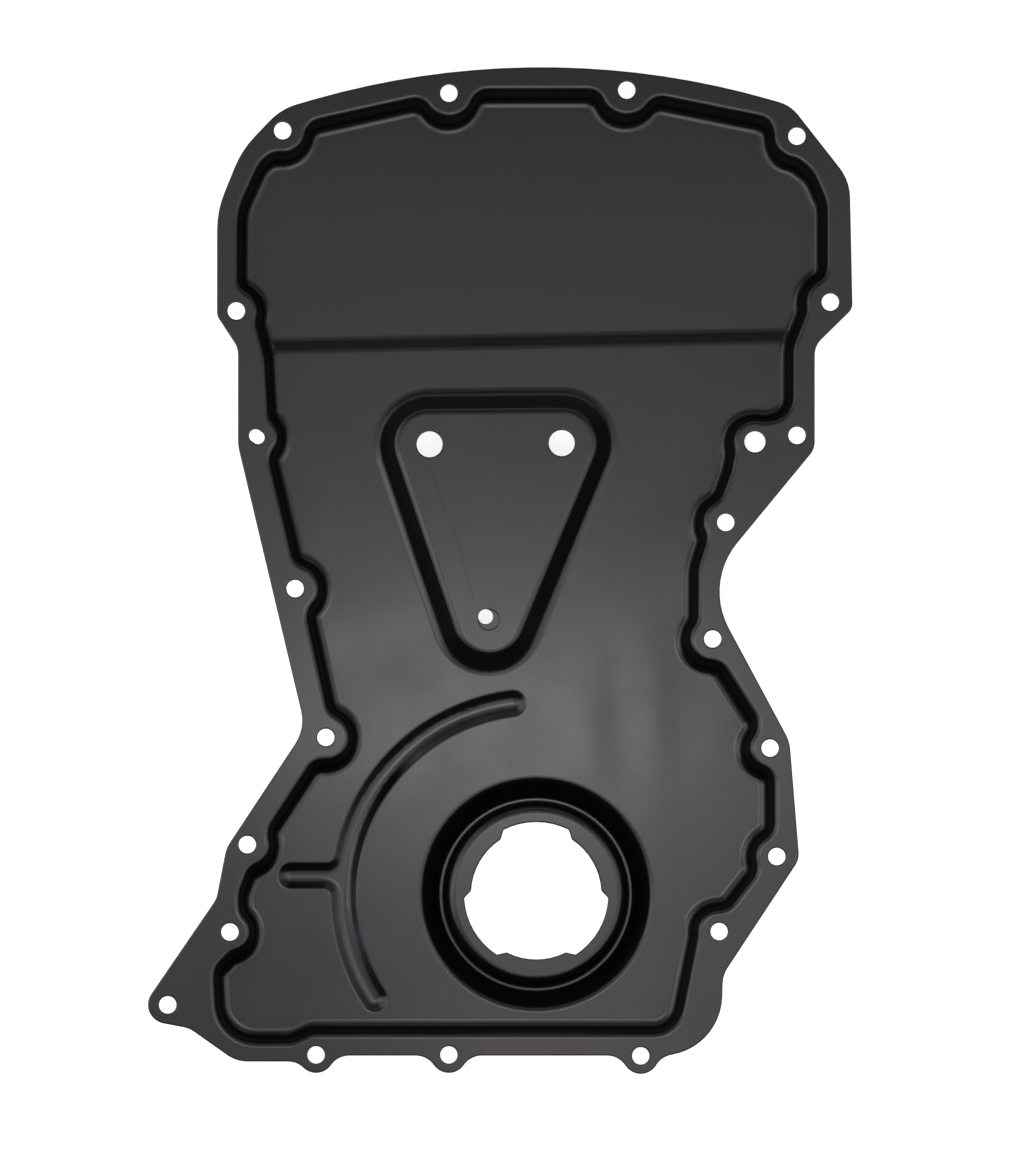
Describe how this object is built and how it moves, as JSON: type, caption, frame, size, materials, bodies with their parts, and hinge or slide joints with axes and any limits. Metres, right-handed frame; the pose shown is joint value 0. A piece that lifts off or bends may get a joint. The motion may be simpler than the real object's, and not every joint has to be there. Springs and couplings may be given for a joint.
{
  "type": "timing cover",
  "caption": "Pressed sheet-steel timing cover: a deep pan with a bolt flange, a raised mounting pad, a stiffening bead and a collar for the crankshaft oil seal.",
  "frame": {"origin": "Where the crankshaft axis meets the plane of the flange's sealing face.", "axes": "+Z is the crankshaft axis, pointing out of the pan's open side towards the engine. +Y points from the crankshaft to the camshaft end. +X points right when one looks into the pan from the engine's side with +Y up."},
  "size_m": [0.2847, 0.4068, 0.0385],
  "materials": {
    "coated_steel": "satin"
  },
  "bodies": {
    "root": {"timing_cover": "coated_steel"}
  },
  "joints": []
}
